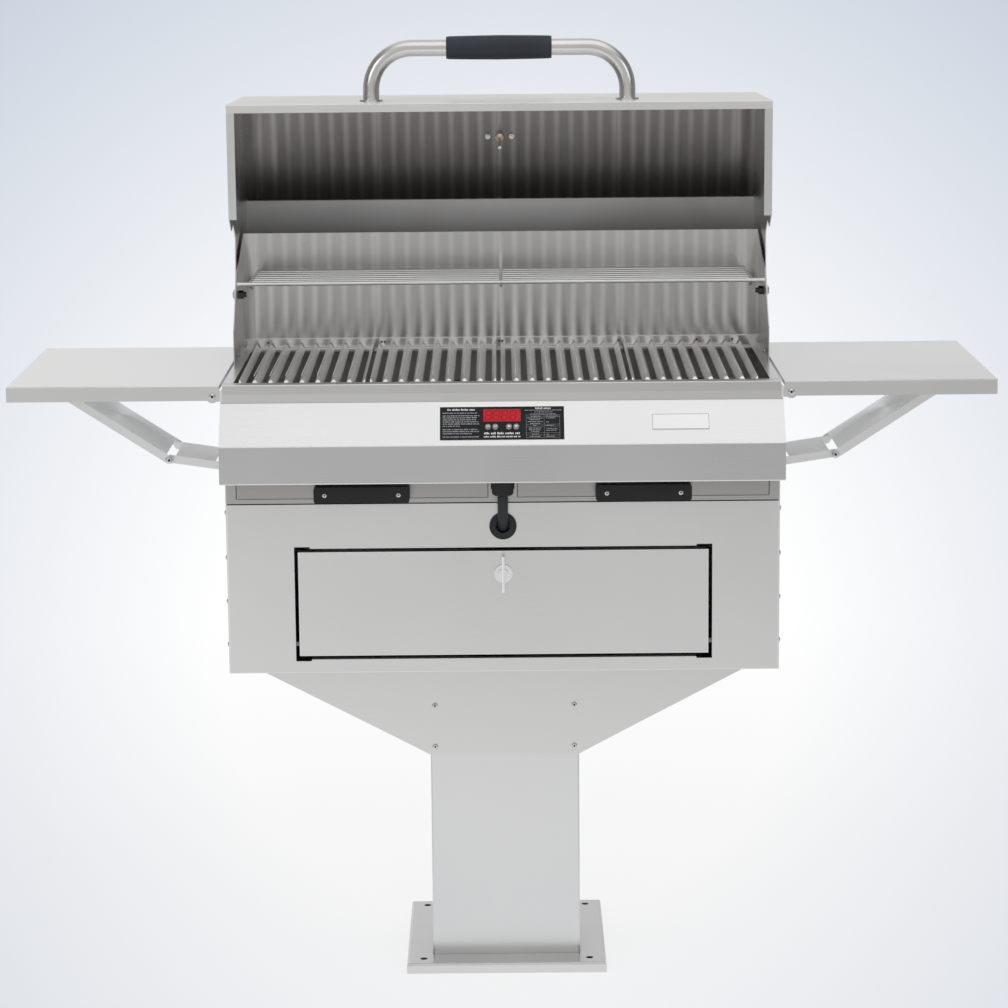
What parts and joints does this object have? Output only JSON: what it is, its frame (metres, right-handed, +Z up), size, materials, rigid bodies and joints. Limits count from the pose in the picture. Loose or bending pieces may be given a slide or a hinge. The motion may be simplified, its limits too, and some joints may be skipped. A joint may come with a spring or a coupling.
{
  "type": "pedestal electric grill",
  "caption": "Column-mounted electric grill with storage cabinet, opening hood, folding side shelves, lift-out grates and grease trays.",
  "frame": {"origin": "centre of the anchor hole pattern on the underside of the base plate", "axes": "+X to the right seen from the front, +Y to the rear, +Z up; the console and door face -Y"},
  "size_m": [1.441, 0.6081, 1.4098],
  "materials": {
    "casing_steel": "brushed",
    "bright_steel": "fine brushed, bright",
    "inner_steel": "mill finish",
    "grate_steel": "pressed, bright edges",
    "polished_steel": "polished",
    "element_sheath": "heat darkened",
    "black_plastic": "matt",
    "label_black": "satin film",
    "red_lens": "tinted window",
    "rubber": "matt rubber",
    "brass": "plain"
  },
  "bodies": {
    "frame": {"base_plate": "inner_steel", "base_cover": "casing_steel", "column": "casing_steel", "neck_front": "casing_steel", "neck_rear": "casing_steel", "casing_screws": "bright_steel", "cabinet_floor": "inner_steel", "cabinet_front": "casing_steel", "cabinet_wrap": "casing_steel", "cord_grommet": "rubber", "junction_box": "inner_steel", "door_hinge_pins": "bright_steel", "seam_spacer": "black_plastic", "firebox_front": "casing_steel", "firebox_wrap": "casing_steel", "drip_floor": "inner_steel", "tray_runners": "inner_steel", "heating_elements": "element_sheath", "element_rails": "inner_steel", "front_rim": "bright_steel", "console": "bright_steel", "display_panel": "label_black", "display_window": "red_lens", "badge_plate": "bright_steel", "control_box": "inner_steel", "strain_relief": "black_plastic", "power_cord": "rubber", "backsplash": "casing_steel", "hood_wings": "casing_steel", "shelf_brackets": "casing_steel", "hinge_bolts": "polished_steel"},
    "door": {"door_panel": "casing_steel", "latch_rose": "polished_steel"},
    "latch": {"latch_handle": "polished_steel", "latch_cam": "inner_steel"},
    "left_tray": {"tray_left": "inner_steel", "tray_handle_left": "black_plastic"},
    "right_tray": {"tray_right": "inner_steel", "tray_handle_right": "black_plastic"},
    "hood": {"hood_shell": "casing_steel", "hood_ends": "casing_steel", "hood_handle": "polished_steel", "handle_grip": "rubber", "thermometer": "brass"},
    "left_shelf": {"shelf_left": "casing_steel"},
    "right_shelf": {"shelf_right": "casing_steel"},
    "left_upper_link": {"upper_link_left": "casing_steel"},
    "right_upper_link": {"upper_link_right": "casing_steel"},
    "left_lower_link": {"lower_link_left": "casing_steel"},
    "right_lower_link": {"lower_link_right": "casing_steel"},
    "on_button": {"button_on": "polished_steel"},
    "off_button": {"button_off": "polished_steel"},
    "up_button": {"button_up": "polished_steel"},
    "down_button": {"button_down": "polished_steel"},
    "first_grate": {"grate_1": "grate_steel"},
    "second_grate": {"grate_2": "grate_steel"},
    "third_grate": {"grate_3": "grate_steel"},
    "fourth_grate": {"grate_4": "grate_steel"},
    "rack": {"warming_rack": "bright_steel"}
  },
  "joints": [
    {"name": "hood_hinge", "type": "hinge", "parent": "frame", "child": "hood", "pos_m": [0, 0.075, 1.017], "axis": [1, 0, 0], "range_deg": [0, 88.5]},
    {"name": "door_hinge", "type": "hinge", "parent": "frame", "child": "door", "pos_m": [0, -0.21, 0.53], "axis": [1, 0, 0], "range_deg": [0, 90]},
    {"name": "latch_turn", "type": "hinge", "parent": "door", "child": "latch", "pos_m": [0, -0.2205, 0.6355], "axis": [0, 1, 0], "range_deg": [0, 90]},
    {"name": "left_tray_slide", "type": "slide", "parent": "frame", "child": "left_tray", "axis": [0, -1, 0], "range_m": [0, 0.33]},
    {"name": "right_tray_slide", "type": "slide", "parent": "frame", "child": "right_tray", "axis": [0, -1, 0], "range_m": [0, 0.33]},
    {"name": "right_shelf_fold", "type": "hinge", "parent": "frame", "child": "right_shelf", "pos_m": [0.421, -0.021, 0.904], "axis": [0, 1, 0], "range_deg": [0, 90]},
    {"name": "right_upper_link_fold", "type": "hinge", "parent": "right_shelf", "child": "right_upper_link", "pos_m": [0.684, -0.021, 0.907], "axis": [0, 1, 0], "range_deg": [0, 34]},
    {"name": "right_lower_link_fold", "type": "hinge", "parent": "frame", "child": "right_lower_link", "pos_m": [0.42, -0.021, 0.776], "axis": [0, 1, 0], "range_deg": [0, 98.5]},
    {"name": "left_shelf_fold", "type": "hinge", "parent": "frame", "child": "left_shelf", "pos_m": [-0.421, -0.021, 0.904], "axis": [0, -1, 0], "range_deg": [0, 90]},
    {"name": "left_upper_link_fold", "type": "hinge", "parent": "left_shelf", "child": "left_upper_link", "pos_m": [-0.684, -0.021, 0.907], "axis": [0, -1, 0], "range_deg": [0, 34]},
    {"name": "left_lower_link_fold", "type": "hinge", "parent": "frame", "child": "left_lower_link", "pos_m": [-0.42, -0.021, 0.776], "axis": [0, -1, 0], "range_deg": [0, 98.5]},
    {"name": "on_button_press", "type": "slide", "parent": "frame", "child": "on_button", "axis": [0, 0.7849, -0.6196], "range_m": [0, 0.0012], "stiffness_N_per_m": 400},
    {"name": "off_button_press", "type": "slide", "parent": "frame", "child": "off_button", "axis": [0, 0.7849, -0.6196], "range_m": [0, 0.0012], "stiffness_N_per_m": 400},
    {"name": "up_button_press", "type": "slide", "parent": "frame", "child": "up_button", "axis": [0, 0.7849, -0.6196], "range_m": [0, 0.0012], "stiffness_N_per_m": 400},
    {"name": "down_button_press", "type": "slide", "parent": "frame", "child": "down_button", "axis": [0, 0.7849, -0.6196], "range_m": [0, 0.0012], "stiffness_N_per_m": 400},
    {"name": "first_grate_lift", "type": "slide", "parent": "frame", "child": "first_grate", "axis": [0, 0, 1], "range_m": [0, 0.09]},
    {"name": "second_grate_lift", "type": "slide", "parent": "frame", "child": "second_grate", "axis": [0, 0, 1], "range_m": [0, 0.09]},
    {"name": "third_grate_lift", "type": "slide", "parent": "frame", "child": "third_grate", "axis": [0, 0, 1], "range_m": [0, 0.09]},
    {"name": "fourth_grate_lift", "type": "slide", "parent": "frame", "child": "fourth_grate", "axis": [0, 0, 1], "range_m": [0, 0.09]},
    {"name": "rack_lift", "type": "slide", "parent": "frame", "child": "rack", "axis": [0, 0, 1], "range_m": [0, 0.05]}
  ],
  "couplings": [
    {"joint": "right_upper_link_fold", "follows": "right_shelf_fold", "ratio": 0.37778},
    {"joint": "right_lower_link_fold", "follows": "right_shelf_fold", "ratio": 1.0944},
    {"joint": "left_upper_link_fold", "follows": "left_shelf_fold", "ratio": 0.37778},
    {"joint": "left_lower_link_fold", "follows": "left_shelf_fold", "ratio": 1.0944}
  ]
}
